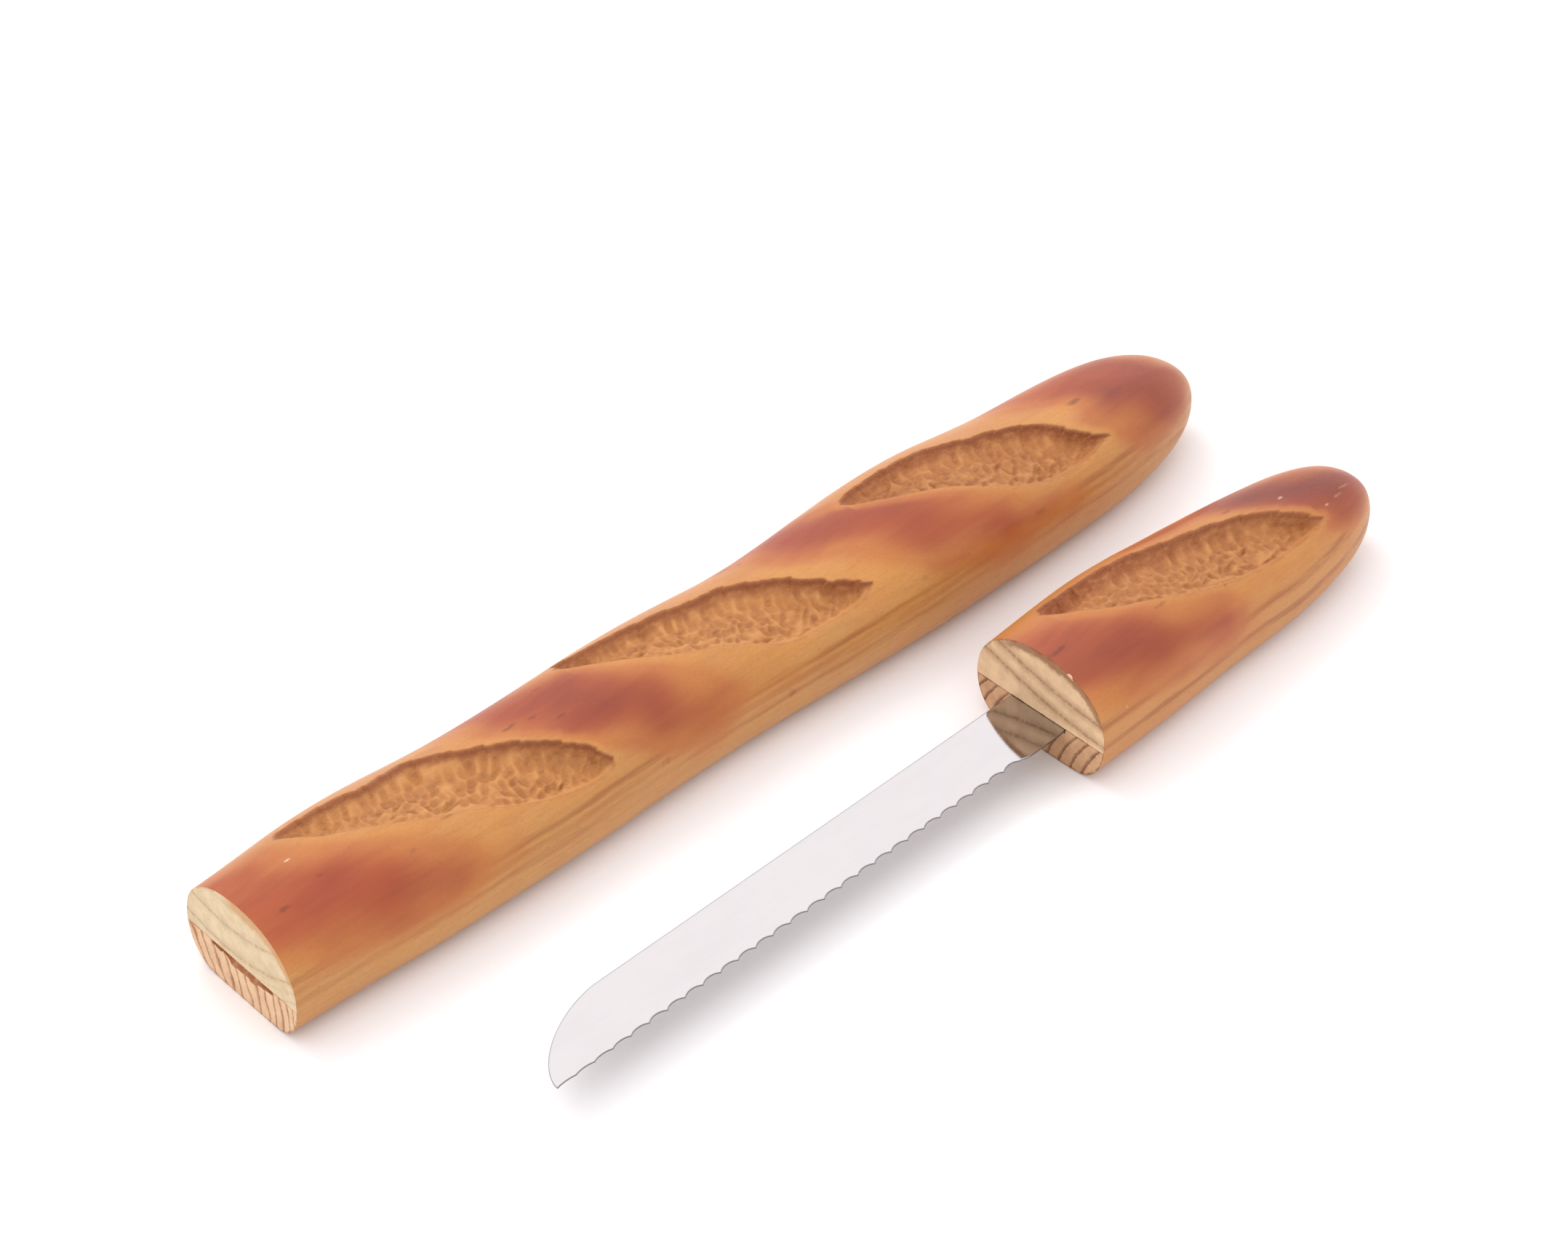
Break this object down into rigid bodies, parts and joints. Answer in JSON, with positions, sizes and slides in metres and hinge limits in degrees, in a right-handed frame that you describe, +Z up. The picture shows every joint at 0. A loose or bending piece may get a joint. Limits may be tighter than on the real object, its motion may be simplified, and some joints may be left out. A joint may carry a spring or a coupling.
{
  "type": "bread knife with sheath",
  "caption": "Scalloped bread knife whose carved wooden handle and slotted sheath together form a baguette, shown drawn beside its sheath.",
  "frame": {"origin": "centre of the whole layout's footprint, on the table under the sheath and the handle", "axes": "+X along the sheath from its sawn mouth to its round end, +Z up off the table, knife on the -Y side"},
  "size_m": [0.395, 0.1364, 0.0398],
  "materials": {
    "sheath_pine": "brown-stained crust, satin varnish, bare sawn end",
    "handle_pine": "brown-stained crust, satin varnish, bare sawn end",
    "blade_steel": "bright polished",
    "pin_steel": "plain drawn wire"
  },
  "bodies": {
    "sheath": {"sheath_upper_board": "sheath_pine", "sheath_lower_board": "sheath_pine"},
    "knife": {"handle_upper_board": "handle_pine", "handle_lower_board": "handle_pine", "blade": "blade_steel", "tang_pin_front": "pin_steel", "tang_pin_rear": "pin_steel"}
  },
  "joints": [
    {"name": "knife_draw", "type": "slide", "parent": "sheath", "child": "knife", "axis": [0.9997, 0.0236, 0], "range_m": [0, 0.21]}
  ]
}
